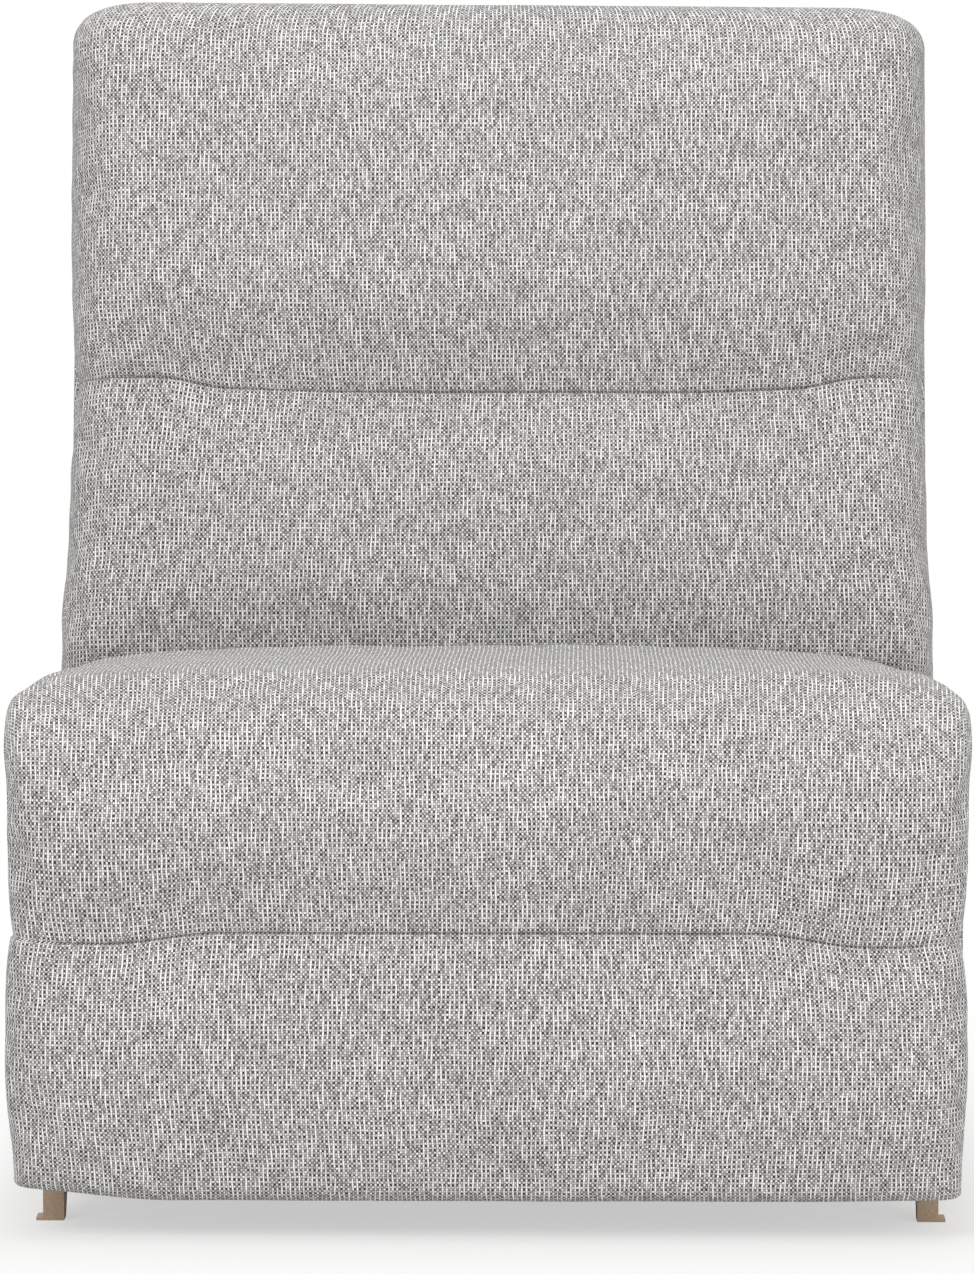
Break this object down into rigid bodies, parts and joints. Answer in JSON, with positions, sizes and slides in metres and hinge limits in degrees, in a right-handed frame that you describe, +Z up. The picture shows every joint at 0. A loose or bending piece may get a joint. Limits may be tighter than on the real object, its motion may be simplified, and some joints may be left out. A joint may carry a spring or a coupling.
{
  "type": "power recliner sofa module",
  "caption": "Armless power recliner module of a sectional sofa, with a reclining pillow back and a padded chaise leg rest on a geared drive",
  "frame": {"origin": "middle of the module's outline, on the floor", "axes": "+Z up, the front faces -Y, X runs across the seat"},
  "size_m": [0.81, 0.9474, 1.0381],
  "materials": {
    "heather_fabric": "woven, heathered light grey",
    "brown_steel": "brown powder coat",
    "black_steel": "black paint",
    "pine": "sawn, unfinished",
    "webbing": "woven elastic",
    "zinc_steel": "zinc plated",
    "black_plastic": "moulded",
    "nylon": "moulded",
    "button_plastic": "moulded"
  },
  "bodies": {
    "frame": {"actuator_gearbox": "black_plastic", "actuator_motor": "black_steel", "actuator_rail": "black_steel", "base_rail_left": "brown_steel", "base_rail_right": "brown_steel", "frame_bolts": "zinc_steel", "front_cross_tube": "black_steel", "front_leg_left": "brown_steel", "front_leg_right": "brown_steel", "hinge_bracket_left": "black_steel", "hinge_bracket_right": "black_steel", "power_inlet": "black_plastic", "rear_cross_tube": "black_steel", "rear_leg_left": "brown_steel", "rear_leg_right": "brown_steel", "screw_bearing": "black_plastic", "seat_cushion": "heather_fabric", "seat_front_rail": "pine", "seat_rear_rail": "pine", "seat_side_rail_left": "pine", "seat_side_rail_right": "pine", "seat_webbing": "webbing", "side_panel_left": "heather_fabric", "side_panel_right": "heather_fabric", "side_plate_left": "black_steel", "side_plate_right": "black_steel", "switch_bezel": "black_plastic", "switch_housing": "black_plastic", "thigh_roll": "heather_fabric"},
    "back": {"back_arm_left": "black_steel", "back_arm_right": "black_steel", "back_border": "heather_fabric", "back_bottom_rail": "pine", "back_middle_rail": "pine", "back_post_left": "pine", "back_post_right": "pine", "back_top_rail": "pine", "back_webbing": "webbing", "lower_back_pillow": "heather_fabric", "outside_back_panel": "heather_fabric", "upper_back_pillow": "heather_fabric"},
    "leg_rest": {"bracket_screws": "zinc_steel", "leg_rest_board": "pine", "leg_rest_bracket_left": "black_steel", "leg_rest_bracket_right": "black_steel", "lower_leg_pad": "heather_fabric", "upper_leg_pad": "heather_fabric"},
    "drive_shaft": {"crank_left": "black_steel", "crank_right": "black_steel", "drive_levers": "black_steel", "torque_tube": "black_steel"},
    "drive_sled": {"drive_nut": "nylon", "sled_bar_left": "black_steel", "sled_bar_right": "black_steel", "sled_cross_bar": "black_steel"},
    "screw": {"lead_screw": "zinc_steel"},
    "push_rods": {"push_rod_left": "black_steel", "push_rod_right": "black_steel"},
    "recline_button": {"recline_button": "button_plastic"},
    "return_button": {"return_button": "button_plastic"}
  },
  "joints": [
    {"name": "back_recline", "type": "hinge", "parent": "frame", "child": "back", "pos_m": [0, 0.19334, 0.33], "axis": [-1, 0, 0], "range_deg": [0, 35]},
    {"name": "leg_rest_swing", "type": "hinge", "parent": "frame", "child": "leg_rest", "pos_m": [0, -0.41766, 0.402], "axis": [-1, 0, 0], "range_deg": [0, 85], "deforming": ["thigh_roll"]},
    {"name": "drive_shaft_turn", "type": "hinge", "parent": "frame", "child": "drive_shaft", "pos_m": [0, -0.21666, 0.215], "axis": [-1, 0, 0], "range_deg": [0, 85]},
    {"name": "push_rod_pivot", "type": "hinge", "parent": "leg_rest", "child": "push_rods", "pos_m": [0, -0.40066, 0.297], "axis": [-1, 0, 0], "range_deg": [-85, 0]},
    {"name": "sled_slide", "type": "slide", "parent": "frame", "child": "drive_sled", "axis": [0, -1, 0], "range_m": [0, 0.09459]},
    {"name": "screw_spin", "type": "hinge", "parent": "frame", "child": "screw", "pos_m": [0, 0.02334, 0.112], "axis": [0, 1, 0], "continuous": true},
    {"name": "recline_press", "type": "slide", "parent": "frame", "child": "recline_button", "axis": [-1, 0, 0], "range_m": [0, 0.002], "stiffness_N_per_m": 400},
    {"name": "return_press", "type": "slide", "parent": "frame", "child": "return_button", "axis": [-1, 0, 0], "range_m": [0, 0.002], "stiffness_N_per_m": 400}
  ],
  "couplings": [
    {"joint": "leg_rest_swing", "follows": "back_recline", "ratio": 2.4286},
    {"joint": "drive_shaft_turn", "follows": "back_recline", "ratio": 2.4286},
    {"joint": "push_rod_pivot", "follows": "back_recline", "ratio": -2.4286},
    {"joint": "sled_slide", "follows": "back_recline", "m_per_rad": 0.15483},
    {"joint": "screw_spin", "follows": "back_recline", "ratio": 121.61}
  ]
}
